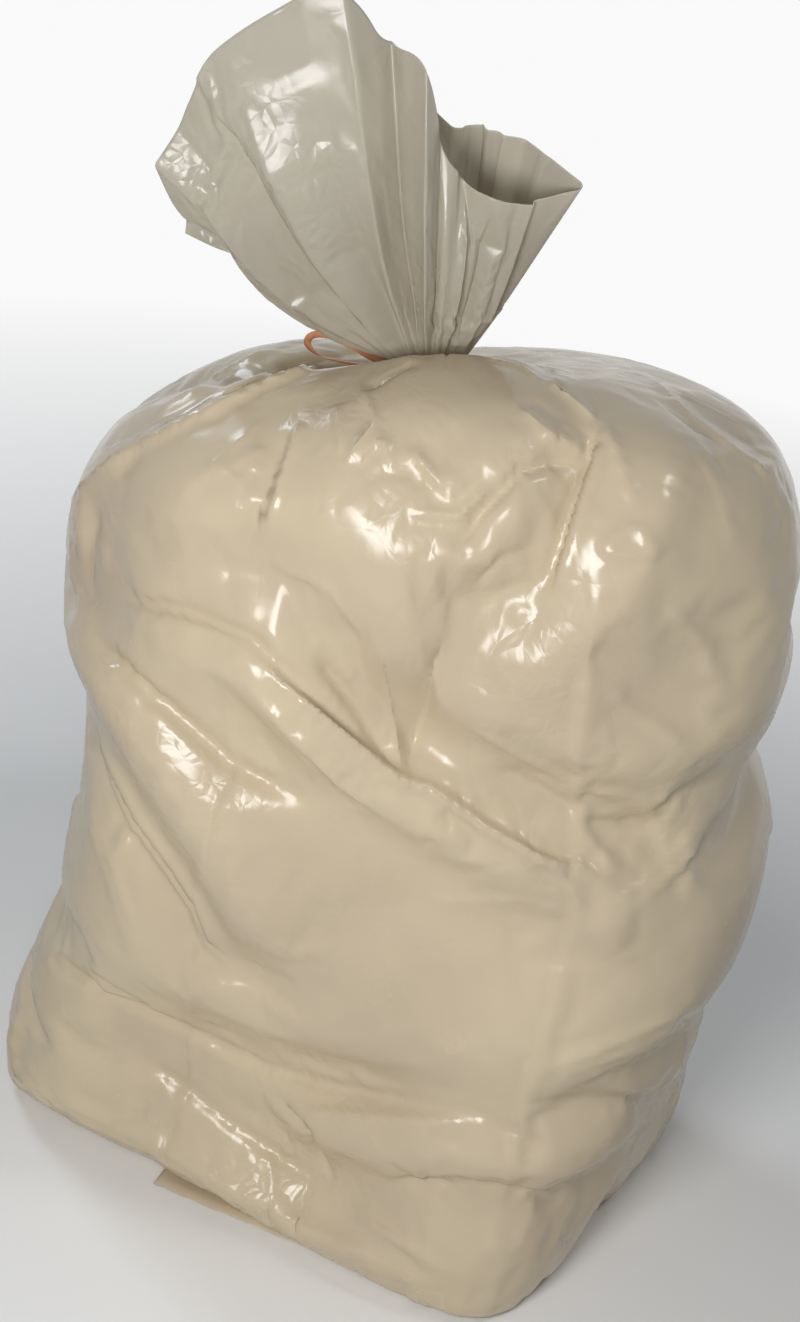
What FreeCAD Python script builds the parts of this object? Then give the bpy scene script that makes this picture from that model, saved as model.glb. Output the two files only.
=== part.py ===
import FreeCAD, Part

# A filled white bin bag, standing on the floor and tied at the neck.
# The bag is one piece of film: a body packed full, a gathered neck and an open tail above the tie.
# The tie is one ribbon, wound round the neck and knotted, with its loop lying over the left shoulder.
# Lengths are millimetres. +Z is up, the front faces -Y and the origin is on the floor under the body.

import math
import os
from collections import namedtuple

import Sketcher
from FreeCAD import Placement, Rotation, Vector

SIZES = (
    ("belly_width", 500, "widest part of the body, side to side"),
    ("belly_depth", 370, "widest part of the body, front to back"),
    ("belly_height", 450, "height at which the shoulders start"),
    ("base_width", 440, "footprint, along its front edge"),
    ("base_depth", 320, "footprint, across"),
    ("base_turn", -26, "degrees that the footprint is turned against the belly"),
    ("base_right", 5, "footprint's middle, right of the body's middle"),
    ("base_front", 10, "footprint's middle, in front of the body's middle"),
    ("base_roll", 14, "radius of the rolled edge round the footprint"),
    ("neck_height", 592, "floor to the middle of the tie"),
    ("neck_radius", 17, "gathered film under the tie"),
    ("neck_length", 16, "straight stretch of the neck"),
    ("neck_left", 12, "neck's place, left of the body's middle"),
    ("neck_back", 8, "neck's place, behind the body's middle"),
    ("crest_front", 36, "top of the front shoulder over the tie"),
    ("crest_right", 16, "top of the right shoulder over the tie"),
    ("crest_back", -6, "top of the back shoulder over the tie"),
    ("crest_left", -6, "top of the left shoulder over the tie"),
    ("tail_height", 244, "tie to the tail's highest point"),
    ("tail_left", 178, "neck to the tail's left tip"),
    ("tail_right", 72, "neck to the tail's right tip"),
    ("tail_depth", 70, "tail's open mouth, front to back"),
    ("tail_puff", 15, "how far the tail's front and back billow out"),
    ("pleat_depth", 6, "gathers in the tail, crest to middle"),
    ("fold_depth", 12, "folds in the front, crest or valley to the body"),
    ("fold_reach", 46, "folds in the front, crest or valley to where they fade out"),
    ("film_wall", 2, "wall of the tail: a few layers of film"),
    ("tie_width", 5, "ribbon's width"),
    ("tie_thickness", 1.2, "ribbon's thickness"),
    ("tie_gap", 0.3, "clearance between the ribbon and the neck"),
    ("knot_size", 8, "ribbon's knot, each way"),
    ("loop_length", 60, "ribbon's loop, from the knot outwards"),
    ("loop_width", 22, "ribbon's loop, across"),
    ("loop_rise", 8, "degrees that the loop rises from the knot"),
)

COLUMNS = 72
BODY_STEPS = 28
TAIL_PLEATS = 9
# Share of the way up the tail at which the pleats have their full depth.
PLEATS_GROWN = 0.4
# Share of the neck's radius that is left of the tail's hollow where it closes.
HOLLOW_FOOT = 0.25
# Folds have their full depth where the skin faces the front by more than this share.
FRONT_SHARE = 0.5
# Thicknesses of ribbon, side by side, at the root of the loop.
LOOP_ROOT = 1.5
SEWING_TOLERANCE = 0.001

Row = namedtuple("Row", "rise left right front back turn square")
Shoulder = namedtuple("Shoulder", "share rise")
Rim = namedtuple("Rim", "angle across out up")
Fold = namedtuple("Fold", "name depth reach line")

# Body from the footprint to the belly. Each reach is 0 at the footprint's size and 1 at the belly's.
BODY_ROWS = (
    Row(rise=0.00, left=0.00, right=0.00, front=0.00, back=0.00, turn=1.00, square=7.0),
    Row(rise=0.06, left=0.05, right=0.10, front=0.10, back=0.10, turn=1.00, square=6.6),
    Row(rise=0.14, left=0.00, right=0.20, front=0.20, back=0.10, turn=0.97, square=6.0),
    Row(rise=0.22, left=-0.30, right=0.30, front=0.30, back=0.15, turn=0.90, square=5.2),
    Row(rise=0.31, left=-0.45, right=0.60, front=0.45, back=0.20, turn=0.80, square=4.4),
    Row(rise=0.41, left=-0.60, right=1.00, front=0.65, back=0.30, turn=0.62, square=3.8),
    Row(rise=0.51, left=-0.70, right=1.30, front=0.85, back=0.45, turn=0.45, square=3.4),
    Row(rise=0.61, left=-0.75, right=1.45, front=0.95, back=0.60, turn=0.30, square=3.1),
    Row(rise=0.70, left=-0.55, right=1.30, front=0.95, back=0.70, turn=0.17, square=2.9),
    Row(rise=0.78, left=-0.30, right=0.50, front=1.00, back=0.80, turn=0.08, square=2.7),
    Row(rise=0.86, left=-0.05, right=0.62, front=1.05, back=0.85, turn=0.03, square=2.6),
    Row(rise=0.93, left=0.15, right=0.95, front=1.05, back=0.85, turn=0.00, square=2.5),
    Row(rise=1.00, left=0.30, right=1.05, front=1.00, back=0.80, turn=0.00, square=2.4),
)

# Shoulder from the belly (share 1) in to the neck (share 0). Rise 1 is the crest, 2 the foot of the neck.
SHOULDER_ROWS = (
    Shoulder(share=0.99, rise=0.14),
    Shoulder(share=0.965, rise=0.28),
    Shoulder(share=0.92, rise=0.43),
    Shoulder(share=0.86, rise=0.57),
    Shoulder(share=0.78, rise=0.70),
    Shoulder(share=0.69, rise=0.81),
    Shoulder(share=0.59, rise=0.89),
    Shoulder(share=0.48, rise=0.94),
    Shoulder(share=0.37, rise=0.98),
    Shoulder(share=0.27, rise=1.00),
    Shoulder(share=0.19, rise=1.02),
    Shoulder(share=0.13, rise=1.16),
    Shoulder(share=0.08, rise=1.52),
    Shoulder(share=0.04, rise=1.84),
)

# How full the shoulder is by direction: 1 falls away evenly, more than 1 stays high and then drops.
FULLNESS = (
    (0, 2.3),
    (45, 1.7),
    (90, 1.2),
    (140, 1.0),
    (172, 1.1),
    (196, 1.6),
    (225, 1.4),
    (270, 1.4),
    (315, 2.0),
)

# Top of the front shoulder by direction: 0 is the low left valley, where the loop lies, and 1 is highest.
FRONT_CREST = ((180, -0.3), (205, 0.15), (235, 0.65), (262, 1.0), (320, 1.0))

# The tail's mouth. Across is a share of the left or right reach, out of half the depth, up of the height.
MOUTH = (
    Rim(angle=0, across=1.00, out=0.0, up=0.55),
    Rim(angle=15, across=0.85, out=0.5, up=0.58),
    Rim(angle=35, across=0.58, out=0.8, up=0.60),
    Rim(angle=55, across=0.30, out=1.0, up=0.62),
    Rim(angle=75, across=0.10, out=1.0, up=0.62),
    Rim(angle=95, across=-0.05, out=1.0, up=0.62),
    Rim(angle=115, across=-0.25, out=1.0, up=0.74),
    Rim(angle=135, across=-0.50, out=1.0, up=0.80),
    Rim(angle=155, across=-0.80, out=0.8, up=0.68),
    Rim(angle=170, across=-0.95, out=0.4, up=0.45),
    Rim(angle=184, across=-0.98, out=-0.1, up=0.27),
    Rim(angle=200, across=-1.00, out=-0.5, up=0.44),
    Rim(angle=217, across=-0.96, out=-0.8, up=0.66),
    Rim(angle=232, across=-0.84, out=-1.0, up=0.82),
    Rim(angle=248, across=-0.46, out=-0.9, up=1.00),
    Rim(angle=260, across=-0.32, out=-0.7, up=0.87),
    Rim(angle=272, across=-0.17, out=-0.8, up=0.84),
    Rim(angle=285, across=-0.06, out=-0.7, up=0.62),
    Rim(angle=300, across=0.10, out=-0.7, up=0.55),
    Rim(angle=315, across=0.30, out=-0.7, up=0.53),
    Rim(angle=330, across=0.55, out=-0.6, up=0.52),
    Rim(angle=345, across=0.80, out=-0.4, up=0.53),
)

TAIL_SHARES = (0.0, 0.12, 0.26, 0.40, 0.55, 0.70, 0.85, 1.0)

# Folds on the front. Depth and reach are shares of the sizes of those names: a ridge's depth is positive
# and a valley's negative. A line's points are seen from the front: across in half widths, up in neck heights.
FOLDS = (
    Fold("band", 0.9, 0.80, ((-0.39, 0.79), (-0.20, 0.72), (0.05, 0.65), (0.28, 0.61), (0.56, 0.56))),
    Fold(
        "above band", -1.1, 1.10,
        ((-0.75, 0.82), (-0.37, 0.84), (-0.12, 0.78), (0.06, 0.72), (0.30, 0.68)),
    ),
    Fold("vee left", -0.6, 1.00, ((-0.26, 0.90), (-0.12, 0.79), (0.04, 0.71))),
    Fold("vee right", -0.6, 0.95, ((0.26, 0.91), (0.12, 0.81), (0.06, 0.71))),
    Fold("below band", -0.9, 1.05, ((-0.42, 0.72), (-0.18, 0.63), (0.08, 0.57), (0.44, 0.52))),
    Fold("left fan", -0.8, 1.00, ((-0.82, 0.74), (-0.61, 0.71), (-0.37, 0.66))),
    Fold(
        "overlap", -1.4, 1.05,
        ((-0.80, 0.61), (-0.68, 0.57), (-0.49, 0.49), (-0.39, 0.41), (-0.28, 0.39)),
    ),
    Fold("overlap lip", 0.9, 1.00, ((-0.76, 0.68), (-0.60, 0.62), (-0.40, 0.54), (-0.26, 0.45))),
    Fold(
        "left lower", -0.9, 1.00,
        ((-0.84, 0.29), (-0.62, 0.27), (-0.42, 0.26), (-0.18, 0.25), (0.08, 0.26)),
    ),
    Fold("waist", -1.0, 1.05, ((-0.08, 0.25), (0.24, 0.28), (0.46, 0.29), (0.68, 0.31), (0.90, 0.34))),
    Fold("under waist", 0.7, 0.90, ((0.16, 0.22), (0.42, 0.24), (0.68, 0.25), (0.90, 0.28))),
    Fold("low left", -1.0, 1.00, ((-0.56, 0.19), (-0.34, 0.16), (-0.08, 0.12), (0.08, 0.12))),
    Fold("low right", -0.9, 0.95, ((0.04, 0.12), (0.24, 0.17), (0.44, 0.19), (0.65, 0.18))),
    Fold(
        "right drop", -1.5, 0.90,
        ((0.39, 1.03), (0.37, 0.98), (0.34, 0.92), (0.34, 0.89), (0.16, 0.86)),
    ),
    Fold("right sweep", 0.5, 0.80, ((0.84, 0.63), (0.74, 0.59), (0.60, 0.54))),
    Fold("low corner", 0.6, 0.80, ((-0.94, 0.20), (-0.86, 0.12), (-0.78, 0.06))),
    Fold("low middle", -0.7, 0.80, ((-0.34, 0.25), (-0.20, 0.18), (-0.08, 0.12))),
    Fold("upper left line", 0.5, 0.85, ((-0.60, 0.92), (-0.46, 0.97), (-0.34, 1.02))),
    Fold("right drop ridge", 0.9, 0.85, ((0.53, 1.03), (0.49, 0.96), (0.46, 0.90))),
    Fold("right fan", -0.9, 0.95, ((0.48, 0.68), (0.66, 0.65), (0.82, 0.68))),
    Fold("right fan ridge", 0.7, 0.90, ((0.50, 0.74), (0.68, 0.72), (0.84, 0.75))),
    Fold("upper left", -0.8, 0.90, ((-0.36, 1.01), (-0.39, 0.95), (-0.43, 0.87))),
)

doc = FreeCAD.newDocument("filled_bin_bag")


def make_sheet():
    sheet = doc.addObject("Spreadsheet::Sheet", "sizes")
    for line, (alias, value, meaning) in enumerate(SIZES, start=1):
        sheet.set(f"A{line}", alias)
        sheet.set(f"B{line}", str(value))
        sheet.setAlias(f"B{line}", alias)
        sheet.set(f"C{line}", meaning)
    doc.recompute()
    return sheet


sheet = make_sheet()


def size(alias):
    return float(sheet.get(alias))


def between(low, high, share):
    return low + (high - low) * share


def curve_value(before, start, end, after, x):
    """Smooth value at x, from start to end, each of them a (place, value) pair."""
    span = end[0] - start[0]
    t = (x - start[0]) / span
    slope_in = (end[1] - before[1]) / (end[0] - before[0]) * span
    slope_out = (after[1] - start[1]) / (after[0] - start[0]) * span
    return (
        (2 * t**3 - 3 * t**2 + 1) * start[1]
        + (t**3 - 2 * t**2 + t) * slope_in
        + (3 * t**2 - 2 * t**3) * end[1]
        + (t**3 - t**2) * slope_out
    )


def along(keys, x):
    """Smooth value at x through (place, value) keys in a row."""
    last = len(keys) - 2
    k = min(max(i for i in range(len(keys)) if keys[i][0] <= x), last)
    return curve_value(keys[max(k - 1, 0)], keys[k], keys[k + 1], keys[min(k + 2, last + 1)], x)


def around(keys, angle):
    """Smooth value at an angle in degrees, through (angle, value) keys round the circle."""
    lap_before = [(place - 360, value) for place, value in keys]
    lap_after = [(place + 360, value) for place, value in keys]
    return along(lap_before + list(keys) + lap_after, angle % 360)


def column_angles():
    """Directions of the columns: 0 is right, 90 back, 180 left and 270 front."""
    return [360.0 * i / COLUMNS for i in range(COLUMNS)]


def on_circle(radius, angle):
    return Vector(radius * math.cos(math.radians(angle)), radius * math.sin(math.radians(angle)), 0)


def rounded_box(angle, left, right, front, back, square, turn):
    """Point of a superellipse in a direction, in the plane, with a reach of its own to each side."""
    a = math.radians(angle - turn)
    half_x = right if math.cos(a) > 0 else left
    half_y = back if math.sin(a) > 0 else front
    reach = (abs(math.cos(a) / half_x) ** square + abs(math.sin(a) / half_y) ** square) ** (-1 / square)
    return on_circle(reach, angle)


def neck_middle(z):
    return Vector(-size("neck_left"), size("neck_back"), z)


def crest_height(angle):
    """Top of the shoulder in a direction."""
    front, left = size("crest_front"), size("crest_left")
    keys = [(0, size("crest_right")), (90, size("crest_back")), (150, left)]
    keys += [(place, between(left, front, share)) for place, share in FRONT_CREST]
    return size("neck_height") + around(keys, angle)


def base_middle(share):
    """Middle of a row that takes a share of the footprint's place."""
    return Vector(size("base_right") * share, -size("base_front") * share, 0)


def body_reaches(row):
    half_width = (size("base_width") / 2, size("belly_width") / 2)
    half_depth = (size("base_depth") / 2, size("belly_depth") / 2)
    return (
        between(*half_width, row.left),
        between(*half_width, row.right),
        between(*half_depth, row.front),
        between(*half_depth, row.back),
    )


def footprint_rows():
    """Rows of the rolled edge round the flat footprint, from the floor up."""
    roll = size("base_roll")
    foot = BODY_ROWS[0]
    rows = []
    for degrees in (0, 30, 60):
        inset = roll * (1 - math.sin(math.radians(degrees)))
        height = roll * (1 - math.cos(math.radians(degrees)))
        reaches = [reach - inset for reach in body_reaches(foot)]
        middle = base_middle(foot.turn) + Vector(0, 0, height)
        turn = size("base_turn") * foot.turn
        rows.append([middle + rounded_box(a, *reaches, foot.square, turn) for a in column_angles()])
    return rows


def body_row(rise):
    values = [along([(row.rise, row[k]) for row in BODY_ROWS], rise) for k in range(1, len(Row._fields))]
    return Row(rise, *values)


def body_rows():
    rows = []
    for step in range(BODY_STEPS + 1):
        row = body_row(step / BODY_STEPS)
        height = between(size("base_roll"), size("belly_height"), row.rise)
        middle = base_middle(row.turn) + Vector(0, 0, height)
        turn = size("base_turn") * row.turn
        reaches = body_reaches(row)
        rows.append([middle + rounded_box(a, *reaches, row.square, turn) for a in column_angles()])
    return rows


def shoulder_rows():
    belly = BODY_ROWS[-1]
    foot = size("neck_height") - size("neck_length") / 2
    rows = []
    for row in SHOULDER_ROWS:
        reaches = [between(size("neck_radius"), reach, row.share) for reach in body_reaches(belly)]
        square = between(2, belly.square, row.share)
        ring = []
        for angle in column_angles():
            crest = crest_height(angle)
            if row.rise <= 1:
                full = 1 - (1 - row.rise) ** around(FULLNESS, angle)
                height = between(size("belly_height"), crest, full)
            else:
                height = between(crest, foot, row.rise - 1)
            middle = neck_middle(0) * (1 - row.share) + Vector(0, 0, height)
            ring.append(middle + rounded_box(angle, *reaches, square, 0))
        rows.append(ring)
    return rows


def distance_to_line(x, z, line):
    """Shortest way in the front view from a point to a line of points."""
    shortest = math.inf
    for (x1, z1), (x2, z2) in zip(line, line[1:]):
        run = (x2 - x1, z2 - z1)
        share = ((x - x1) * run[0] + (z - z1) * run[1]) / (run[0] ** 2 + run[1] ** 2)
        share = min(max(share, 0), 1)
        shortest = min(shortest, math.hypot(x - x1 - share * run[0], z - z1 - share * run[1]))
    return shortest


def fold_lines():
    """The folds' lines in millimetres, seen from the front."""
    half_width = size("belly_width") / 2
    return [[(across * half_width, up * size("neck_height")) for across, up in fold.line] for fold in FOLDS]


def fold_shift(point, lines):
    """How far the folds push a point of the front out (positive) or in."""
    shift = 0
    for fold, line in zip(FOLDS, lines):
        away = distance_to_line(point.x, point.z, line) / (fold.reach * size("fold_reach"))
        if away < 1:
            shift += fold.depth * size("fold_depth") * (1 - away**2) ** 2
    return shift


def folded(rows):
    """The rows with their front half pushed in and out by the folds."""
    lines = fold_lines()
    result = []
    for ring in rows:
        moved = []
        for point in ring:
            outward = Vector(point.x, point.y, 0).normalize()
            facing = max(0, -outward.y)
            moved.append(point + outward * fold_shift(point, lines) * min(1, facing / FRONT_SHARE))
        result.append(moved)
    return result


def mouth_point(angle):
    across, out, up = (around([(rim.angle, rim[k]) for rim in MOUTH], angle) for k in (1, 2, 3))
    reach = size("tail_right") if across > 0 else size("tail_left")
    point = Vector(across * reach, out * size("tail_depth") / 2, up * size("tail_height"))
    return neck_middle(size("neck_height")) + point


def neck_foot():
    middle = neck_middle(size("neck_height") - size("neck_length") / 2)
    return [middle + on_circle(size("neck_radius"), angle) for angle in column_angles()]


def tail_rows():
    """Rows of the tail from the top of the neck (share 0) out to the mouth (share 1), with its pleats."""
    top = neck_middle(size("neck_height") + size("neck_length") / 2)
    rows = []
    for share in TAIL_SHARES:
        ring = []
        for angle in column_angles():
            start = top + on_circle(size("neck_radius"), angle)
            outward = on_circle(1, angle)
            puff = size("tail_puff") * math.sin(math.pi * share) * abs(outward.y)
            grown = min(1, share / PLEATS_GROWN)
            pleat = size("pleat_depth") * grown * math.cos(math.radians(TAIL_PLEATS * angle))
            ring.append(start + (mouth_point(angle) - start) * share + outward * (puff + pleat))
        rows.append(ring)
    return rows


def lining(outer):
    """Rows one wall of film inside the tail's rows, from the mouth down to where the film closes."""
    rows = []
    for k in range(len(outer) - 1, 1, -1):
        ring, below, above = outer[k], outer[k - 1], outer[min(k + 1, len(outer) - 1)]
        inside = []
        for i, point in enumerate(ring):
            normal = (ring[(i + 1) % COLUMNS] - ring[i - 1]).cross(above[i] - below[i])
            inside.append(point - normal.normalize() * size("film_wall"))
        rows.append(inside)
    closing = size("neck_height") + size("neck_length") / 2 + 2 * size("film_wall")
    radius = HOLLOW_FOOT * size("neck_radius")
    rows.append([neck_middle(closing) + on_circle(radius, angle) for angle in column_angles()])
    return rows


def film_solid(rows):
    """Solid inside a net of rows: two triangles in each gap of the net and a flat face across each end."""
    points = [point for ring in rows for point in ring]
    facets = []
    for k in range(len(rows) - 1):
        for i in range(COLUMNS):
            after = (i + 1) % COLUMNS
            a, b = k * COLUMNS + i, k * COLUMNS + after
            d, c = a + COLUMNS, b + COLUMNS
            if (points[c] - points[a]).Length < (points[d] - points[b]).Length:
                facets += [(a, b, c), (a, c, d)]
            else:
                facets += [(a, b, d), (b, c, d)]
    skin = Part.Shape()
    skin.makeShapeFromMesh((points, facets), SEWING_TOLERANCE)
    ends = [Part.Face(Part.makePolygon(ring + ring[:1])) for ring in (rows[0], rows[-1])]
    shell = Part.makeShell(skin.Faces + ends)
    shell.sewShape(SEWING_TOLERANCE)
    solid = Part.makeSolid(shell.Shells[0])
    if solid.Volume < 0:
        solid.reverse()
    return solid


def make_bag():
    """One skin from the footprint over the shoulders and the neck, over the mouth's rim and down inside."""
    tail = tail_rows()
    body = footprint_rows() + folded(body_rows() + shoulder_rows()) + [neck_foot()]
    bag = doc.addObject("Part::Feature", "bag")
    bag.Label = "bag"
    bag.Shape = film_solid(body + tail + lining(tail))
    return bag


def origin_plane(body, role):
    return next(item for item in body.Origin.OriginFeatures if item.Role == role)


def new_sketch(body, name, role):
    sketch = body.newObject("Sketcher::SketchObject", name)
    sketch.AttachmentSupport = [(origin_plane(body, role), "")]
    sketch.MapMode = "FlatFace"
    return sketch


def named(sketch, constraint, name, expression):
    number = sketch.addConstraint(constraint)
    sketch.renameConstraint(number, name)
    sketch.setExpression(f"Constraints.{name}", expression)


def pad_both_ways(body, sketch, name, expression):
    pad = body.newObject("PartDesign::Pad", name)
    pad.Profile = sketch
    pad.SideType = "Symmetric"
    pad.setExpression("Length", expression)
    sketch.Visibility = False
    doc.recompute()
    return pad


def add_winding(body):
    """Two turns of the ribbon, one on the other, round the neck."""
    sketch = new_sketch(body, "winding_outline", "XY_Plane")
    inside = size("neck_radius") + size("tie_gap")
    for name, turns in (("inner_radius", 0), ("outer_radius", 2)):
        radius = inside + turns * size("tie_thickness")
        circle = sketch.addGeometry(Part.Circle(Vector(0, 0, 0), Vector(0, 0, 1), radius))
        sketch.addConstraint(Sketcher.Constraint("Coincident", circle, 3, -1, 1))
        expression = f"sizes.neck_radius + sizes.tie_gap + {turns} * sizes.tie_thickness"
        named(sketch, Sketcher.Constraint("Radius", circle, radius), name, expression)
    return pad_both_ways(body, sketch, "winding", "sizes.tie_width")


def add_knot(body):
    """The knot, a small block on the left of the winding."""
    sketch = new_sketch(body, "knot_outline", "XZ_Plane")
    right = -(size("neck_radius") + size("tie_gap"))
    left = right - size("knot_size")
    half = size("knot_size") / 2
    corners = [Vector(x, z, 0) for x, z in ((right, -half), (right, half), (left, half), (left, -half))]
    after = corners[1:] + corners[:1]
    lines = [sketch.addGeometry(Part.LineSegment(*ends)) for ends in zip(corners, after)]
    for line, following in zip(lines, lines[1:] + lines[:1]):
        sketch.addConstraint(Sketcher.Constraint("Coincident", line, 2, following, 1))
    for kind, line in (("Horizontal", 1), ("Vertical", 2), ("Horizontal", 3)):
        sketch.addConstraint(Sketcher.Constraint(kind, lines[line]))
    sketch.addConstraint(Sketcher.Constraint("Symmetric", lines[0], 1, lines[0], 2, -1))
    tall = Sketcher.Constraint("DistanceY", lines[0], 1, lines[0], 2, 2 * half)
    wide = Sketcher.Constraint("DistanceX", lines[1], 2, lines[1], 1, 2 * half)
    named(sketch, tall, "tall", "sizes.knot_size")
    named(sketch, wide, "wide", "sizes.knot_size")
    reach = Sketcher.Constraint("DistanceX", lines[0], 1, -1, 1, -right)
    named(sketch, reach, "reach", "sizes.neck_radius + sizes.tie_gap")
    return pad_both_ways(body, sketch, "knot", "sizes.knot_size")


def add_loop(body):
    """The ribbon's loop on edge, a teardrop from the knot out to the left."""
    sketch = new_sketch(body, "loop_outline", "XZ_Plane")
    sketch.AttachmentOffset = Placement(Vector(0, 0, 0), Rotation(Vector(0, 0, 1), 180 - size("loop_rise")))
    sketch.setExpression("AttachmentOffset.Rotation.Angle", "180 - sizes.loop_rise")
    start = "-(sizes.neck_radius + sizes.tie_gap + sizes.knot_size / 2)"
    sketch.setExpression("AttachmentOffset.Base.x", start)
    outer = size("loop_width") / 2
    inner = outer - size("tie_thickness")
    centre = size("loop_length") + size("knot_size") / 2 - outer
    root = LOOP_ROOT * size("tie_thickness") / 2
    slope = math.asin(outer / math.hypot(centre, root)) - math.atan2(root, centre)
    across = Vector(-math.sin(slope), math.cos(slope), 0)
    mirrored = Vector(across.x, -across.y, 0)
    middle = Vector(centre, 0, 0)
    tip = Vector(centre - inner / math.sin(slope), 0, 0)
    turn = math.pi / 2 + slope
    items = [
        Part.LineSegment(Vector(0, root, 0), middle + across * outer),
        Part.ArcOfCircle(Part.Circle(middle, Vector(0, 0, 1), outer), -turn, turn),
        Part.LineSegment(middle + mirrored * outer, Vector(0, -root, 0)),
        Part.LineSegment(Vector(0, -root, 0), Vector(0, root, 0)),
        Part.LineSegment(tip, middle + across * inner),
        Part.ArcOfCircle(Part.Circle(middle, Vector(0, 0, 1), inner), -turn, turn),
        Part.LineSegment(middle + mirrored * inner, tip),
    ]
    top, arc, bottom, end, inner_top, inner_arc, inner_bottom = (sketch.addGeometry(item) for item in items)
    for constraint in (
        ("Tangent", top, 2, arc, 2),
        ("Tangent", bottom, 1, arc, 1),
        ("Coincident", bottom, 2, end, 1),
        ("Coincident", end, 2, top, 1),
        ("PointOnObject", arc, 3, -1),
        ("PointOnObject", top, 1, -2),
        ("Symmetric", top, 1, bottom, 2, -1),
        ("Tangent", inner_top, 2, inner_arc, 2),
        ("Tangent", inner_bottom, 1, inner_arc, 1),
        ("Coincident", inner_arc, 3, arc, 3),
        ("Coincident", inner_top, 1, inner_bottom, 2),
        ("PointOnObject", inner_top, 1, -1),
        ("Parallel", inner_top, top),
    ):
        sketch.addConstraint(Sketcher.Constraint(*constraint))
    named(sketch, Sketcher.Constraint("Radius", arc, outer), "outer_radius", "sizes.loop_width / 2")
    named(sketch, Sketcher.Constraint("Radius", inner_arc, inner), "inner_radius",
          "sizes.loop_width / 2 - sizes.tie_thickness")
    named(sketch, Sketcher.Constraint("DistanceX", -1, 1, arc, 3, centre), "reach",
          "sizes.loop_length + sizes.knot_size / 2 - sizes.loop_width / 2")
    named(sketch, Sketcher.Constraint("DistanceY", bottom, 2, top, 1, 2 * root), "root",
          f"{LOOP_ROOT} * sizes.tie_thickness")
    return pad_both_ways(body, sketch, "loop", "sizes.tie_width")


def make_tie():
    tie = doc.addObject("PartDesign::Body", "tie")
    tie.Label = "tie"
    add_winding(tie)
    add_knot(tie)
    add_loop(tie)
    tie.setExpression("Placement.Base.x", "-sizes.neck_left")
    tie.setExpression("Placement.Base.y", "sizes.neck_back")
    tie.setExpression("Placement.Base.z", "sizes.neck_height")
    return tie


def check_and_write(pieces):
    doc.recompute()
    for item in doc.Objects:
        if "Invalid" in item.State or "Error" in item.State:
            raise RuntimeError(f"{item.Label} failed: {item.State}")
    os.makedirs("parts", exist_ok=True)
    for piece in pieces:
        if piece.Shape.isNull() or not piece.Shape.isValid():
            raise RuntimeError(f"{piece.Label} has no valid shape")
        piece.Shape.exportStep(f"parts/{piece.Label}.step")


check_and_write([make_bag(), make_tie()])
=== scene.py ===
"""A filled bin bag of pale film, standing on the floor and tied at the neck with a ribbon."""

import math
from collections import namedtuple

import bmesh
import bpy
import numpy as np
from mathutils import Matrix, Vector
from mathutils.bvhtree import BVHTree


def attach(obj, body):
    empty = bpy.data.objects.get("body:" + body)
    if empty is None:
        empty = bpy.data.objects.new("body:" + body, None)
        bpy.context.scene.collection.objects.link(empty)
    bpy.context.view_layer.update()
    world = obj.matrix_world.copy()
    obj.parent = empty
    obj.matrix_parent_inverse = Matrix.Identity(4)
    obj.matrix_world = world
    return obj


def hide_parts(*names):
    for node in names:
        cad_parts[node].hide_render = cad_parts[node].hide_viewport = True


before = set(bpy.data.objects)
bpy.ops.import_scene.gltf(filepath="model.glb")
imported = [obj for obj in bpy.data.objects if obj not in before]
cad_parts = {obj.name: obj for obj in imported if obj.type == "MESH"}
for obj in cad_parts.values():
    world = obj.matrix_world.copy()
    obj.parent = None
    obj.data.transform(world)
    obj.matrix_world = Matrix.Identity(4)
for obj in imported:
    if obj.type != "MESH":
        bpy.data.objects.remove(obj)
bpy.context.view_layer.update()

bl_info = {
    "name": "Filled bin bag",
    "version": (1, 0, 0),
    "blender": (4, 5, 0),
    "location": "View3D > Sidebar > Bin bag",
    "description": "Makes a filled, tied bin bag with its gathered tail and ribbon",
    "category": "Object",
}

# The photograph's size in pixels, and the camera that sees the bag as it does.
PHOTO_WIDTH = 800
PHOTO_HEIGHT = 1322
PHOTO_FOCAL = 2610
CAMERA_TARGET = Vector((0.0, 0.0, 0.38))
CAMERA_DISTANCE = 1.8
CAMERA_ELEVATION = math.radians(30)
CAMERA_ROLL = math.radians(9)

# Middle of the filled body, from which every point of its skin can be reached in a straight line.
BODY_MIDDLE = Vector((-0.004, 0.0, 0.30))
# The neck where the tie is, and how near to it the shoulder's crest can be.
NECK_TOP = Vector((-0.012, 0.008, 0.592))
NECK_RADIUS = 0.0168
CREST_NEAREST = 0.045

Crease = namedtuple("Crease", "name kind height reach line")
Rim = namedtuple("Rim", "angle across out up")
Pleat = namedtuple("Pleat", "name neck mouth width height start end", defaults=(1.3,))
Seam = namedtuple("Seam", "left_inner right_inner left_outer right_outer")
Facets = namedtuple("Facets", "scale start full depth seed")
Lamp = namedtuple("Lamp", "name place width colour")

MM = 0.001

# Columns round the body and rows up it: under it, up its side to the crest, and from the crest to the neck.
COLUMNS = 352
ROWS_UNDER = 8
ROWS_SIDE = 252
ROWS_NECK = 20
FRONT_DENSITY = 0.52
# Rays from the body's middle that find one column's line up the skin.
PROFILE_STEPS = 420
# A point lower than this stands on the floor.
FLOOR_TOUCH = 0.5 * MM
# Rays that climb by more than this share of their length can leave through the neck.
STEEP = 0.5
# Rounds in which the net's points are drawn towards their neighbours.
SMOOTHING = 16

# Creases are laid broadly before the film settles and sharpened along their lines after it.
BROAD_RELIEF = 0.45
BROAD_SPREAD = 2.2
SHARP_RELIEF = 0.62
SHARP_SPREAD = 0.9
STEP_WIDTH = 2.5 * MM
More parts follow.
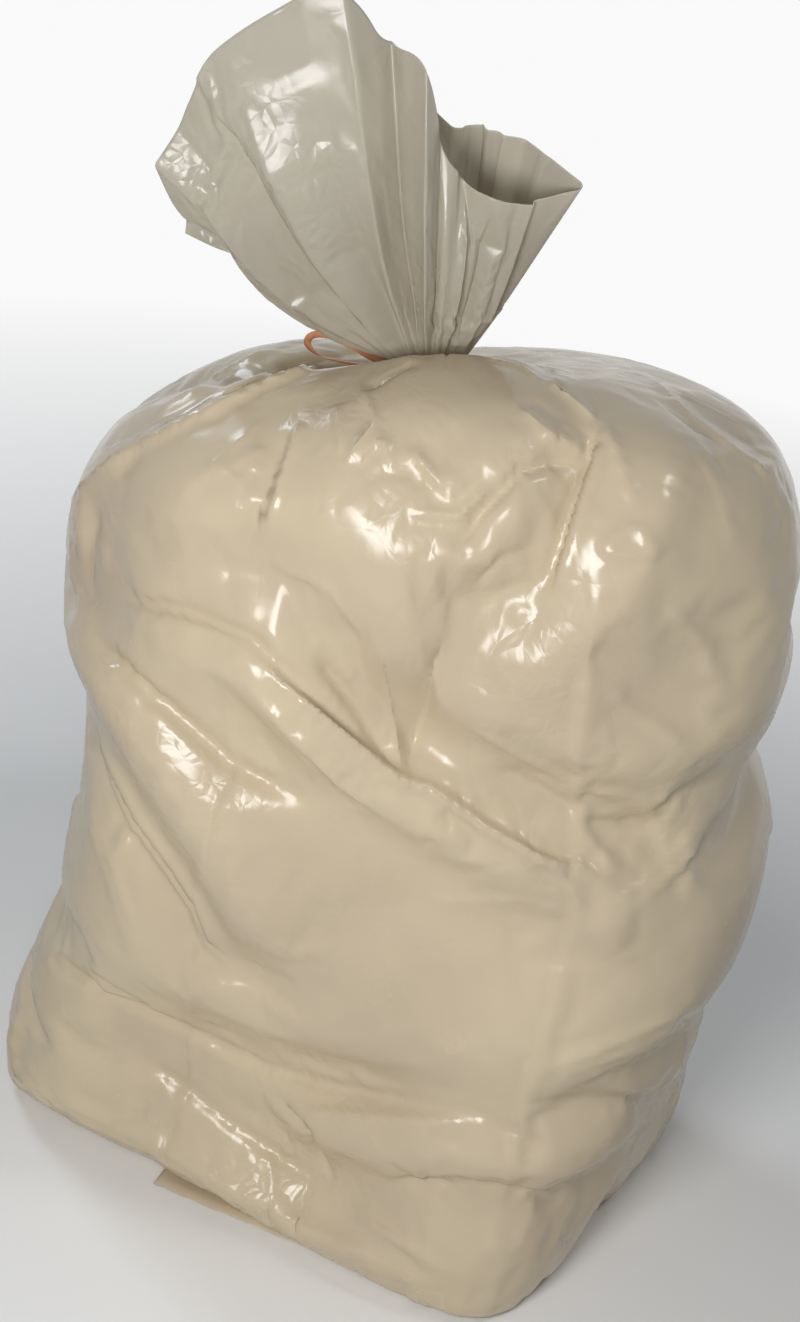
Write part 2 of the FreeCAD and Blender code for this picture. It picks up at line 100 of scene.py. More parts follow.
# The net's points this near a crease are drawn onto its line, and how steeply that fades with distance.
DRAWN = 2.6 * MM
DRAWING = 1.8
# Share of a crease's length over which it fades at each end, and how much sooner the drawing is full.
FADE = 0.22
DRAWING_FADE = 4
# Pixels from one line of sight to the next along a crease.
SIGHT_STEP = 14

# Creases out of the photograph's sight: how many, from which azimuth to which, and the draw's seed.
BACK_CREASES = 34
BACK_FROM = 4
BACK_TO = 184
BACK_SEED = 7
BACK_RELIEF = 0.4
BACK_SPREAD = 1.5
# Their ranges: place, middle, half length round the body in degrees, slant, bow, ends, height and reach.
BACK_SHIFT = (0.1, 0.9)
BACK_MIDDLE = (0.07, 0.52)
BACK_LENGTH = (12, 32)
BACK_SLANT = 0.06
BACK_BOW = 0.015
BACK_ENDS = (0.03, 0.53)
BACK_HEIGHT = (4, 8)
BACK_REACH = (14, 20)
BACK_RIDGES = 0.55
BACK_POINTS = 9

# Columns and rows of the tail.
TAIL_COLUMNS = 540
TAIL_ROWS = 91
SETTLE_FRAMES = 14
CLOTH = {
    "quality": 4,
    "mass": 0.02,
    "air_damping": 2.0,
    "tension_stiffness": 60.0,
    "compression_stiffness": 60.0,
    "shear_stiffness": 20.0,
    "pin_stiffness": 1.0,
}
# How firmly the film is held in place while it settles, by what is in the body and by nothing in the tail.
BODY_HOLD = 0.05
TAIL_HOLD = 0.10
# The film is held fully this near the floor, and this far over the tie.
HELD_BY_FLOOR = 1.0 * MM
HELD_BY_TIE = 40 * MM
# Shares of the tail's height: where it is still held fully, and over which it loosens from there.
TAIL_HELD = 0.08
TAIL_LOOSENS = 0.25

# Creases of the front: name, kind, height and reach in millimetres, and the photograph's pixels along them.
CREASES = [Crease(*row) for row in (
    ("front crest edge", "ridge", 9, 10,
     ((384, 358), (345, 362), (300, 373), (258, 388), (215, 408), (172, 430), (130, 452), (84, 480))),
    ("behind front crest", "valley", 9, 9,
     ((375, 350), (340, 354), (300, 363), (255, 377), (212, 396), (170, 418), (132, 440))),
    ("back shoulder ridge", "ridge", 4, 9, ((300, 350), (262, 352), (225, 372), (190, 396), (150, 424))),
    ("left hem edge", "ridge", 3, 6, ((84, 490), (80, 530), (78, 570), (84, 620))),
    ("left hem fold", "valley", 3, 6, ((104, 500), (94, 540), (90, 580), (96, 610))),
    ("left hem line", "ridge", 2, 4, ((120, 505), (106, 545), (102, 580))),
    ("right shoulder ridge", "ridge", 3, 9,
     ((645, 373), (688, 414), (739, 453), (762, 468), (780, 504), (797, 553))),
    ("band top", "ridge", 8.5, 8,
     ((247, 647), (285, 685), (340, 730), (400, 781), (430, 790), (480, 825), (545, 862), (577, 866),
      (618, 886))),
    ("band foot", "ridge", 3.5, 7, ((240, 677), (290, 735), (340, 785), (395, 825))),
    ("band valley", "valley", 8, 15, ((110, 600), (180, 612), (250, 640), (340, 720), (400, 775))),
    ("vee left", "valley", 6, 13, ((310, 650), (355, 705), (400, 775))),
    ("vee right", "valley", 6, 14, ((447, 632), (425, 700), (405, 775))),
    ("vee middle", "ridge", 3, 10, ((380, 640), (390, 700), (402, 770))),
    ("hook", "ridge", 3, 5, ((545, 862), (568, 880), (574, 903))),
    ("left dark fold", "valley", 7, 14, ((83, 628), (150, 690), (235, 765), (330, 815))),
    ("left overlap", "step", 8, 16,
     ((97, 738), (115, 780), (135, 820), (175, 875), (195, 905), (207, 940), (237, 965))),
    ("left overlap edge", "ridge", 3, 7, ((88, 802), (111, 860), (134, 932), (133, 950))),
    ("left overlap spur", "ridge", 2.5, 6, ((137, 822), (122, 845), (111, 859))),
    ("long valley", "valley", 6, 12,
     ((51, 950), (118, 993), (187, 1030), (268, 1068), (330, 1085), (420, 1103), (494, 1113))),
    ("long valley right", "valley", 5.5, 12, ((500, 1108), (570, 1100), (650, 1095), (680, 1086))),
    ("under valley", "ridge", 4, 8, ((268, 1105), (330, 1112), (420, 1120), (493, 1118))),
    ("valley head", "ridge", 3, 9, ((187, 985), (233, 985), (257, 995), (313, 1028))),
    ("low left fold", "valley", 5, 11, ((137, 1052), (187, 1089), (228, 1121), (268, 1148), (330, 1190))),
    ("low middle fold", "valley", 5, 10, ((270, 1089), (308, 1132), (337, 1186))),
    ("low right fold", "valley", 5, 9, ((375, 1186), (407, 1179), (460, 1180), (506, 1187), (560, 1195))),
    ("low right ridge", "ridge", 3, 9, ((345, 1200), (400, 1240), (440, 1268), (465, 1273))),
    ("corner ridge", "ridge", 4, 9, ((16, 1049), (40, 1080), (67, 1116))),
    ("corner line", "ridge", 2, 6, ((27, 950), (35, 980), (43, 1009))),
    ("right lower edge", "ridge", 3, 9, ((685, 966), (691, 1006), (675, 1095), (637, 1137), (613, 1191))),
    ("right low fold", "ridge", 2.5, 7, ((567, 1172), (565, 1196), (546, 1247))),
    ("soft fan one", "ridge", 3, 12, ((520, 1080), (600, 1050), (690, 1010))),
    ("soft fan two", "valley", 2.5, 10, ((540, 1090), (620, 1062), (690, 1040))),
    ("middle fan top", "ridge", 2.5, 8, ((469, 727), (520, 755), (578, 786))),
    ("middle fan foot", "valley", 3, 8, ((494, 766), (540, 788), (577, 810))),
    ("right fan top", "ridge", 4, 9, ((578, 789), (610, 792), (642, 799), (658, 814))),
    ("right fan valley", "valley", 5, 9, ((578, 820), (620, 822), (657, 819))),
    ("right fan drop", "ridge", 3, 7, ((658, 814), (664, 798), (670, 782))),
    ("right sweep", "ridge", 3.5, 9, ((697, 824), (693, 835), (655, 872), (609, 911))),
    ("right spur", "ridge", 2.5, 7, ((578, 827), (596, 846), (614, 868))),
    ("right upper sweep", "ridge", 3, 11, ((604, 690), (657, 725), (688, 750))),
    ("deep drop", "step", 9, 15, ((599, 425), (590, 465), (570, 525), (553, 583), (552, 600))),
    ("drop ridge", "ridge", 4, 8, ((543, 379), (570, 398), (599, 423))),
    ("drop valley", "valley", 6, 12, ((590, 467), (553, 463), (522, 470), (480, 515), (450, 560))),
    ("drop fan", "ridge", 4, 9, ((533, 430), (560, 440), (590, 455))),
    ("drop fan two", "ridge", 3, 8, ((522, 409), (540, 425), (558, 440))),
    ("drop right", "ridge", 3.5, 9, ((599, 414), (612, 442), (637, 509))),
    ("star left", "ridge", 3, 7, ((635, 521), (615, 538), (596, 553))),
    ("star right", "ridge", 3, 7, ((635, 521), (648, 542), (658, 558))),
    ("star foot", "ridge", 2.5, 7, ((596, 553), (627, 554), (658, 558))),
    ("upper left drop", "valley", 5, 11, ((290, 427), (269, 486), (255, 525), (242, 562))),
    ("upper left ridge", "ridge", 3.5, 8, ((300, 420), (283, 470), (262, 530))),
    ("upper left spur", "ridge", 3, 8, ((208, 476), (240, 462), (269, 447))),
    ("upper left line", "ridge", 2.5, 8, ((170, 504), (215, 465), (264, 419))),
    ("crest drop", "ridge", 3, 8, ((338, 404), (340, 430), (340, 460))),
    ("crest drop two", "ridge", 3.5, 8, ((358, 386), (376, 422), (340, 465))),
    ("crest valley", "valley", 4, 9, ((361, 394), (390, 376), (414, 363))),
    ("patch one", "ridge", 2.5, 6, ((340, 465), (375, 440), (400, 450))),
    ("patch two", "ridge", 2.5, 6, ((400, 450), (420, 462), (440, 480), (470, 487))),
    ("patch foot", "ridge", 2.5, 6, ((405, 513), (460, 515), (495, 485))),
    ("left ridge", "ridge", 3, 10, ((114, 603), (170, 615), (246, 641))),
    ("right neck line", "ridge", 3, 8, ((484, 358), (522, 368), (543, 384))),
    ("right neck drop", "ridge", 2, 7, ((544, 348), (553, 372), (562, 396))),
    ("left corner", "ridge", 9, 16, ((150, 446), (112, 466), (86, 486), (84, 530), (86, 570))),
    ("bottom corner", "ridge", 8, 14, ((24, 1000), (14, 1040), (18, 1074), (60, 1104))),
    ("left packing fold", "ridge", 2, 5,
     ((236, 646), (227, 727), (235, 768), (215, 804), (198, 891), (191, 990), (191, 1076), (177, 1159),
      (185, 1186))),
    ("right packing fold", "ridge", 2, 5,
     ((590, 490), (578, 524), (596, 600), (578, 748), (577, 811), (576, 921), (567, 950), (555, 1000),
      (527, 1092), (506, 1180), (498, 1218), (487, 1280))),
    ("crest patch one", "ridge", 2.4, 5, ((352, 470), (368, 452), (380, 440), (392, 462), (404, 449))),
    ("crest patch two", "valley", 2, 5, ((360, 486), (385, 474), (410, 478), (436, 492))),
    ("crest patch three", "ridge", 2, 5, ((414, 446), (428, 470), (444, 492), (462, 500))),
    ("left patch one", "ridge", 2.4, 5, ((206, 478), (226, 470), (240, 484), (252, 466), (268, 474))),
    ("left patch two", "ridge", 2, 5, ((226, 500), (244, 512), (262, 498), (256, 530))),
    ("low front edge", "ridge", 9, 18,
     ((30, 1085), (90, 1112), (160, 1146), (225, 1184), (300, 1224), (380, 1262), (440, 1288))),
    ("soft crease one", "ridge", 1.8, 6, ((150, 700), (190, 745), (225, 775))),
    ("soft crease two", "ridge", 1.8, 6, ((265, 560), (330, 590), (365, 640))),
    ("soft crease three", "valley", 2, 7, ((470, 590), (500, 560), (540, 545))),
    ("soft crease four", "ridge", 1.6, 6, ((660, 600), (700, 640), (715, 690))),
    ("soft crease five", "ridge", 1.8, 6, ((690, 440), (720, 490), (735, 560))),
    ("soft crease six", "ridge", 1.6, 6, ((240, 920), (290, 952), (322, 948))),
    ("soft crease seven", "valley", 1.8, 7, ((60, 1010), (100, 1048), (130, 1060))),
    ("soft crease eight", "ridge", 1.6, 6, ((420, 900), (520, 900), (570, 912))),
)]

# The tail's foot over the tie, how far it puffs out and droops, and its even pleats and fine gathers.
TAIL_FOOT = Vector((-0.012, 0.008, 0.598))
TAIL_PUFF = 15 * MM
TAIL_DROOP = 12 * MM
TAIL_PLEATS = 9
FINE_GATHERS = 31
# Heights of the even pleats and the fine gathers, and the shares of the tail's height where they are full.
PLEAT_HEIGHT = 4.5 * MM
PLEATS_GROWN = 0.35
GATHER_HEIGHT = 1.6 * MM
GATHERS_GROWN = 0.08
# How fast the fine gathers fade upwards, and how sharp the single pleats are.
GATHERS_FADE = 1.5
PLEAT_SHARPNESS = 1.6
# Shares of the tail's height over which a single pleat starts and ends.
PLEAT_STARTS = 0.15
PLEAT_ENDS = 0.2
# The droop of the left side: which way it goes, and how much sooner than the mouth it ends.
DROOP_WAY = (-0.35, 0.0, -1.0)
DROOP_ENDS = 1.25
# The tail's mouth. Across is in units of the left or right reach, out of half the depth, up of the height.
TAIL_LEFT = 0.176
TAIL_RIGHT = 0.074
TAIL_DEPTH = 0.070
TAIL_HEIGHT = 0.242
MOUTH = (
    Rim(angle=0, across=1.00, out=0.0, up=0.55),
    Rim(angle=15, across=0.85, out=0.5, up=0.58),
    Rim(angle=35, across=0.58, out=0.8, up=0.60),
    Rim(angle=55, across=0.30, out=1.0, up=0.62),
    Rim(angle=75, across=0.10, out=1.0, up=0.62),
    Rim(angle=95, across=-0.05, out=1.0, up=0.62),
    Rim(angle=115, across=-0.25, out=1.0, up=0.74),
    Rim(angle=135, across=-0.50, out=1.0, up=0.80),
    Rim(angle=155, across=-0.80, out=0.8, up=0.68),
    Rim(angle=170, across=-0.95, out=0.4, up=0.45),
    Rim(angle=184, across=-0.98, out=-0.1, up=0.27),
    Rim(angle=200, across=-1.00, out=-0.5, up=0.44),
    Rim(angle=217, across=-0.96, out=-0.8, up=0.66),
    Rim(angle=232, across=-0.84, out=-1.0, up=0.82),
    Rim(angle=248, across=-0.46, out=-0.9, up=1.00),
    Rim(angle=260, across=-0.32, out=-0.7, up=0.87),
    Rim(angle=272, across=-0.17, out=-0.8, up=0.84),
    Rim(angle=285, across=-0.06, out=-0.7, up=0.62),
    Rim(angle=300, across=0.10, out=-0.7, up=0.55),
    Rim(angle=315, across=0.30, out=-0.7, up=0.53),
    Rim(angle=330, across=0.55, out=-0.6, up=0.52),
    Rim(angle=345, across=0.80, out=-0.4, up=0.53),
)

# The end seam that sticks out flat under the front, by the ends of its two edges on the floor.
SEAM = Seam(
    left_inner=Vector((-0.104, -0.100)),
    right_inner=Vector((0.010, -0.150)),
    left_outer=Vector((-0.116, -0.139)),
    right_outer=Vector((0.006, -0.181)),
)
SEAM_STEPS = 60
SEAM_ROWS = 4
# How high its free edge ripples, its long and its short ripples, and its height over the floor.
SEAM_RIPPLE = 0.8 * MM
SEAM_RIPPLES = (23, 9)
SEAM_LIFT = 0.8 * MM

# Gathers of the tail, by direction at the neck and at the mouth. Widths are degrees, heights millimetres.
# Starts and ends are shares of the tail's height, and most gathers run out over the mouth.
PLEATS = (
    Pleat("pocket ridge", neck=236, mouth=231, width=11, height=9, start=0.0, end=0.85),
    Pleat("pocket valley", neck=225, mouth=222, width=7, height=-7, start=0.05, end=0.9),
    Pleat("pocket inner valley", neck=245, mouth=239, width=7, height=-6, start=0.05, end=0.8),
    Pleat("tip ridge", neck=252, mouth=250, width=8, height=6, start=0.1),
    Pleat("tip valley", neck=262, mouth=262, width=5, height=-9, start=0.05),
    Pleat("middle ridge", neck=271, mouth=273, width=6, height=8, start=0.05),
    Pleat("middle valley", neck=281, mouth=283, width=6, height=-8, start=0.1),
    Pleat("right ridge", neck=295, mouth=300, width=8, height=7, start=0.15, end=0.95),
    Pleat("right valley", neck=310, mouth=316, width=9, height=-7, start=0.2, end=0.95),
    Pleat("right end", neck=330, mouth=335, width=8, height=6, start=0.2),
    Pleat("left flap", neck=205, mouth=203, width=8, height=6, start=0.2),
    Pleat("left end valley", neck=192, mouth=190, width=7, height=-6, start=0.2),
    Pleat("back ridge", neck=140, mouth=128, width=12, height=9, start=0.1),
    Pleat("back valley", neck=118, mouth=108, width=9, height=-8, start=0.1),
    Pleat("back right", neck=75, mouth=70, width=10, height=7, start=0.15),
    Pleat("back right valley", neck=55, mouth=48, width=8, height=-6, start=0.2),
)

# Crumples in the film's surface, in patches: how fine their facets are, where they start and are full in a
# cloudy pattern, and their depth in millimetres.
FILM_FACETS = (
    Facets(scale=14.0, start=0.40, full=0.65, depth=2.0, seed=1.0),
    Facets(scale=34.0, start=0.46, full=0.66, depth=3.4, seed=2.0),
    Facets(scale=90.0, start=0.52, full=0.7, depth=2.0, seed=3.0),
)

# The ribbon's winding: points, degrees from each to the next, how it grows and how it wanders up and down.
WINDING_POINTS = 33
WINDING_TURN = 22.5
WINDING_CLEARANCE = 1.0 * MM
WINDING_GROWTH = 0.05 * MM
WINDING_WANDER = 1.2 * MM
WINDING_WAVE = 0.9
KNOT_OUT = 3 * MM
# The ribbon's loop from the knot, in millimetres, and its tilt at each point in degrees.
LOOP = (
    ((0, 0, 0), 80),
    ((-16, -3, 7), 85),
    ((-32, -4, 14), 90),
    ((-48, -2, 17), 60),
    ((-59, 2, 10), 20),
    ((-54, 5, 0), 60),
    ((-38, 5, -3), 95),
    ((-18, 3, -2), 90),
)

# Sockets for colours of the node that mixes.
MIX_FIRST = 6
MIX_SECOND = 7
MIX_RESULT = 2

# The floor's half width, and the distances over which it fades into the pale room.
FLOOR_REACH = 6.0
FLOOR_FADES = (0.45, 1.5)
FLOOR_ROUGHNESS = 0.8
# How bright the room is where it is seen, also in the gloss.
ROOM_SEEN = 0.95
# The soft round lamps and the place that they shine at.
LAMP_TARGET = (0.0, 0.0, 0.35)
LAMPS = (
    Lamp("key", place=(-0.22, -1.08, 0.84), width=0.40, colour=(1.0, 1.0, 1.0)),
    Lamp("fill", place=(0.9, -0.4, 1.9), width=0.3, colour=(1.0, 1.0, 1.0)),
    Lamp("back", place=(-1.2, 1.1, 1.5), width=0.6, colour=(0.80, 0.90, 1.0)),
)


def camera_axes():
    """The camera's own right, up and back, in the scene."""
    back = Vector((0.0, -math.cos(CAMERA_ELEVATION), math.sin(CAMERA_ELEVATION)))
    level = Vector((1.0, 0.0, 0.0))
    rise = back.cross(level)
    right = math.cos(CAMERA_ROLL) * level + math.sin(CAMERA_ROLL) * rise
    up = math.cos(CAMERA_ROLL) * rise - math.sin(CAMERA_ROLL) * level
    return right, up, back


def camera_place():
    """Where the camera stands."""
    return CAMERA_TARGET + camera_axes()[2] * CAMERA_DISTANCE


def line_of_sight(pixel):
    """Direction in which the camera sees a pixel of the photograph."""
    right, up, back = camera_axes()
    across = pixel[0] - PHOTO_WIDTH / 2
    down = pixel[1] - PHOTO_HEIGHT / 2
    return (right * across - up * down - back * PHOTO_FOCAL).normalized()


def mesh_of(net, name):
    """Mesh of a net, which is then let go."""
    mesh = bpy.data.meshes.new(name)
    net.to_mesh(mesh)
    net.free()
    return mesh


def new_object(name, data):
    """New object in the scene."""
    thing = bpy.data.objects.new(name, data)
    bpy.context.scene.collection.objects.link(thing)
    return thing


def new_piece(name, mesh, material, nodes):
    """New smooth piece of the bag or its tie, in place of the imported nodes."""
    piece = new_object(name, mesh)
    mesh.materials.append(material)
    mesh.shade_smooth()
    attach(piece, "root")
    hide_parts(*nodes)
    return piece


def packed_form():
    """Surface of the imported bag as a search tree."""
    form = bmesh.new()
    form.from_mesh(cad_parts["bag"].data)
    bmesh.ops.remove_doubles(form, verts=form.verts, dist=0.01 * MM)
    tree = BVHTree.FromBMesh(form)
    form.free()
    return tree


def column_azimuths(columns):
    """Directions of the columns round the body, closer together at the front than at the back."""
    even = np.linspace(0, 2 * math.pi, columns, endpoint=False)
    front = 1.5 * math.pi
    return even - FRONT_DENSITY * np.sin(even - front)


def profile(tree, azimuth):
    """Points up the body in one direction, from the middle of the base to the middle of the neck."""
    points = []
    climb = NECK_TOP.z - BODY_MIDDLE.z
    for polar in np.linspace(math.pi, 0, PROFILE_STEPS):
        level = math.sin(polar)
        way = Vector((level * math.cos(azimuth), level * math.sin(azimuth), math.cos(polar)))
        hit = tree.ray_cast(BODY_MIDDLE, way)[0]
        if hit is None:
            raise RuntimeError("The packed body is open: a ray from its middle leaves it.")
        if way.z > STEEP:
            at_neck = BODY_MIDDLE + way * (climb / way.z)
            if (at_neck - NECK_TOP).length < NECK_RADIUS:
                hit = at_neck
        points.append(hit)
    return np.array(points)


def spaced(points, count):
    """That many points at even distances along a line of points."""
    steps = np.linalg.norm(np.diff(points, axis=0), axis=1)
    place = np.concatenate(([0.0], np.cumsum(steps)))
    wanted = np.linspace(0, place[-1], count)
    return np.stack([np.interp(wanted, place, points[:, k]) for k in range(3)], axis=1)


def film_grid(tree):
    """The skin as rows of points, whose edges follow the base's edge and the shoulder's crest."""
    columns = []
    for azimuth in column_azimuths(COLUMNS):
        points = profile(tree, azimuth)
        edge = int(np.max(np.nonzero(points[:, 2] < FLOOR_TOUCH)))
        from_neck = np.hypot(points[:, 0] - NECK_TOP.x, points[:, 1] - NECK_TOP.y)
        crest = int(np.argmax(np.where(from_neck > CREST_NEAREST, points[:, 2], 0)))
        under = spaced(points[: edge + 1], ROWS_UNDER + 1)[:-1]
        side = spaced(points[edge : crest + 1], ROWS_SIDE + 1)[:-1]
        columns.append(np.concatenate((under, side, spaced(points[crest:], ROWS_NECK + 1))))
    return np.stack(columns, axis=1)


def smoothed(grid, rounds):
    """The grid with each point drawn towards its neighbours. The first and last rows stay."""
    for _ in range(rounds):
        beside = (np.roll(grid, 1, axis=1) + np.roll(grid, -1, axis=1)) / 2
        over = (grid[:-2] + grid[2:]) / 2
        inner = 0.5 * grid[1:-1] + 0.25 * over + 0.25 * beside[1:-1]
        grid = np.concatenate((grid[:1], inner, grid[-1:]))
    return grid


def grid_normals(grid):
    """Direction out of the skin at each point."""
    across = np.roll(grid, -1, axis=1) - np.roll(grid, 1, axis=1)
    normals = np.cross(across, np.gradient(grid, axis=0))
    length = np.linalg.norm(normals, axis=2, keepdims=True)
    return normals / np.maximum(length, 1e-12)


def grid_tree(grid):
    """Search tree of the skin that a grid of points makes."""
    rows, columns = grid.shape[:2]
    here = np.arange(columns)
    after = (here + 1) % columns
    below = np.arange(rows - 1)[:, None] * columns
    above = below + columns
    faces = np.stack((below + here, below + after, above + after, above + here), axis=2)
    return BVHTree.FromPolygons(grid.reshape(-1, 3).tolist(), faces.reshape(-1, 4).tolist())


def points_hit(tree, rays):
    """Points of the skin that rays meet, each ray a start and a direction."""
    hits = [tree.ray_cast(start, way)[0] for start, way in rays]
    return np.array([hit for hit in hits if hit is not None])


def seen_line(tree, pixels):
    """Points of the skin that the camera sees along a line of pixels."""
    eye = camera_place()
    dense = []
    for start, end in zip(pixels, pixels[1:]):
        length = math.dist(start, end)
        count = max(1, round(length / SIGHT_STEP))
        dense += [
            (start[0] + (end[0] - start[0]) * k / count, start[1] + (end[1] - start[1]) * k / count)
            for k in range(count)
        ]
    dense.append(pixels[-1])
    return points_hit(tree, [(eye, line_of_sight(pixel)) for pixel in dense])


def round_line(tree, places):
    """Points of the skin along a line of places, each an azimuth in degrees and a height in metres."""
    rays = []
    for azimuth, height in places:
        turned = math.radians(azimuth)
        start = Vector((BODY_MIDDLE.x, BODY_MIDDLE.y, height))
        rays.append((start, Vector((math.cos(turned), math.sin(turned), 0.0))))
    return points_hit(tree, rays)


def back_creases():
    """Creases of the back and the sides, which the photograph doesn't show: slack folds at a slant."""
    random = np.random.default_rng(BACK_SEED)
    creases = []
    for k in range(BACK_CREASES):
        azimuth = BACK_FROM + (BACK_TO - BACK_FROM) * (k + random.uniform(*BACK_SHIFT)) / BACK_CREASES
        middle = random.uniform(*BACK_MIDDLE)
        length = random.uniform(*BACK_LENGTH)
        slant = random.uniform(-BACK_SLANT, BACK_SLANT)
        bow = random.uniform(-BACK_BOW, BACK_BOW)
        low, high = BACK_ENDS
        line = tuple(
            (azimuth + length * share, min(high, max(low, middle + slant * share + bow * (1 - share**2))))
            for share in np.linspace(-1, 1, BACK_POINTS)
        )
        kind = "ridge" if random.random() < BACK_RIDGES else "valley"
        height = random.uniform(*BACK_HEIGHT)
        creases.append(Crease(f"back {k}", kind, height, random.uniform(*BACK_REACH), line))
    return creases


def beside_line(points, line):
    """How far points lie from a line, the way to it, their side of it, and where along it, 0 to 1."""
    steps = np.linalg.norm(np.diff(line, axis=0), axis=1)
    place = np.concatenate(([0.0], np.cumsum(steps)))
    nearest = np.full(len(points), np.inf)
    side = np.zeros((len(points), 3))
    back = np.zeros((len(points), 3))
    where = np.zeros(len(points))
    for k, (start, end) in enumerate(zip(line, line[1:])):
        run = end - start
        share = np.clip((points - start) @ run / max(run @ run, 1e-12), 0, 1)
        away = points - start - share[:, None] * run
        distance = np.linalg.norm(away, axis=1)
        closer = distance < nearest
        nearest[closer] = distance[closer]
        side[closer] = np.cross(run, away[closer])
        back[closer] = -away[closer]
        where[closer] = (place[k] + share[closer] * steps[k]) / place[-1]
    return nearest, back, side, where


def crease_height(kind, distance, sign, reach):
    """Height of a crease at a distance from its line, as a share of its full height."""
    flank = np.clip(1 - distance / reach, 0, 1) ** 2
    if kind == "ridge":
        return flank
    if kind == "valley":
        return -flank
    return np.tanh(sign * distance / STEP_WIDTH) * flank


def creased(grid, creases, find_line, relief, spread, drawn=0.0):
    """The grid with its creases pushed out of it or into it, at a share of their height and reach."""
    tree = grid_tree(grid)
    normals = grid_normals(grid)
    flat = grid.reshape(-1, 3)
    out = normals.reshape(-1, 3)
    shift = np.zeros(len(flat))
    along = np.zeros_like(flat)
    pulled = np.zeros(len(flat))
    for crease in creases:
        line = find_line(tree, crease.line)
        if len(line) < 3:
            continue
        reach = spread * crease.reach * MM
        low, high = line.min(axis=0) - reach, line.max(axis=0) + reach
        near = np.nonzero(np.all((flat > low) & (flat < high), axis=1))[0]
        distance, back, side, where = beside_line(flat[near], line)
        sign = np.sign(np.einsum("ij,ij->i", side, out[near]))
        faded = np.clip(np.minimum(where, 1 - where) / FADE, 0, 1)
        faded = faded * faded * (3 - 2 * faded)
        height = crease_height(crease.kind, distance, sign, reach)
        shift[near] += relief * crease.height * MM * height * faded
        if drawn > 0:
            back -= np.einsum("ij,ij->i", back, out[near])[:, None] * out[near]
            pull = np.clip(DRAWING - DRAWING * distance / drawn, 0, 1)
            pull = pull * np.clip(faded * DRAWING_FADE, 0, 1)
            along[near] += back * (pull * (distance < drawn))[:, None]
            pulled[near] += pull * (distance < drawn)
    along /= np.maximum(pulled, 1.0)[:, None]
    return (flat + along + out * shift[:, None]).reshape(grid.shape)


def body_mesh(grid, name="bag_body"):
    """Mesh of the body: a sphere's net, whose rings are laid on the rows of the skin."""
    rows, columns = grid.shape[:2]
    net = bmesh.new()
    bmesh.ops.create_uvsphere(net, u_segments=columns, v_segments=rows - 1, radius=1.0)
    places = []
    for vert in net.verts:
        polar = math.acos(max(-1.0, min(1.0, vert.co.z)))
        row = round((1 - polar / math.pi) * (rows - 1))
        column = round(math.atan2(vert.co.y, vert.co.x) / (2 * math.pi) * columns) % columns
        vert.co = grid[row, column]
        places.append((row, column))
    bmesh.ops.recalc_face_normals(net, faces=net.faces)
    return mesh_of(net, name), np.array(places)


def between_rows(values):
    """Values with new ones set between each two along the first axis, on a smooth line through them."""
    padded = np.concatenate((values[:1], values, values[-1:]))
    middle = (9 * (padded[1:-2] + padded[2:-1]) - padded[:-3] - padded[3:]) / 16
    result = np.empty((2 * len(values) - 1,) + values.shape[1:])
    result[::2] = values
    result[1::2] = middle
    return result


def settle(mesh, holds, excess, settings):
    """Places of a mesh's points after its film, cut a little too large, has settled."""
    film = new_object("film_settling", mesh)
    hold = film.vertex_groups.new(name="hold")
    for vert, held in zip(mesh.vertices, holds):
        hold.add([vert.index], float(held), "REPLACE")
    cloth = film.modifiers.new("settle", "CLOTH")
    for name, value in CLOTH.items():
        setattr(cloth.settings, name, value)
    cloth.settings.bending_stiffness = settings.bending
    cloth.settings.shrink_min = -excess
    cloth.settings.vertex_group_mass = "hold"
    cloth.settings.effector_weights.gravity = 0.0
    cloth.collision_settings.use_collision = False
    cloth.point_cache.frame_end = SETTLE_FRAMES
    for frame_number in range(1, SETTLE_FRAMES + 1):
        bpy.context.scene.frame_set(frame_number)
    settled = film.evaluated_get(bpy.context.evaluated_depsgraph_get())
    after = np.empty(len(mesh.vertices) * 3)
    settled.to_mesh().vertices.foreach_get("co", after)
    settled.to_mesh_clear()
    bpy.data.objects.remove(film)
    bpy.data.meshes.remove(mesh)
    return after.reshape(-1, 3)


def crumpled(grid, make_mesh, holds, excess, settings):
    """The grid after its film has settled on what it holds, worked out on every second row and column."""
    coarse = grid[::2, ::2]
    mesh, places = make_mesh(coarse, "film_settling")
    rows, columns = places[:, 0], places[:, 1]
    laid = coarse.copy()
    laid[rows, columns] = settle(mesh, holds(coarse)[rows, columns], excess, settings)
    shift = laid - coarse
    shift[0] = 0
    length = np.linalg.norm(shift, axis=2, keepdims=True)
    shift = shift * np.minimum(1.0, settings.cap / np.maximum(length, 1e-9))
    fine = between_rows(shift)
    turned = np.swapaxes(fine, 0, 1)
    turned = between_rows(np.concatenate((turned[-2:], turned, turned[:3])))[4:-5]
    return grid + np.swapaxes(turned, 0, 1)


def body_holds(grid):
    """How firmly each point of the body's film is held: fully on the floor and by the tie."""
    firm = (grid[..., 2] < HELD_BY_FLOOR) | (grid[..., 2] > NECK_TOP.z + HELD_BY_TIE)
    firm[-1] = True
    return np.where(firm, 1.0, BODY_HOLD)


def tail_holds(grid):
    """How firmly each point of the tail's film is held: fully by the tie and hardly at the mouth."""
    share = np.linspace(0, 1, len(grid))[:, None] * np.ones(grid.shape[1])
    firm = np.clip(1 - (share - TAIL_HELD) / TAIL_LOOSENS, 0, 1)
    return TAIL_HOLD + (1 - TAIL_HOLD) * firm**2


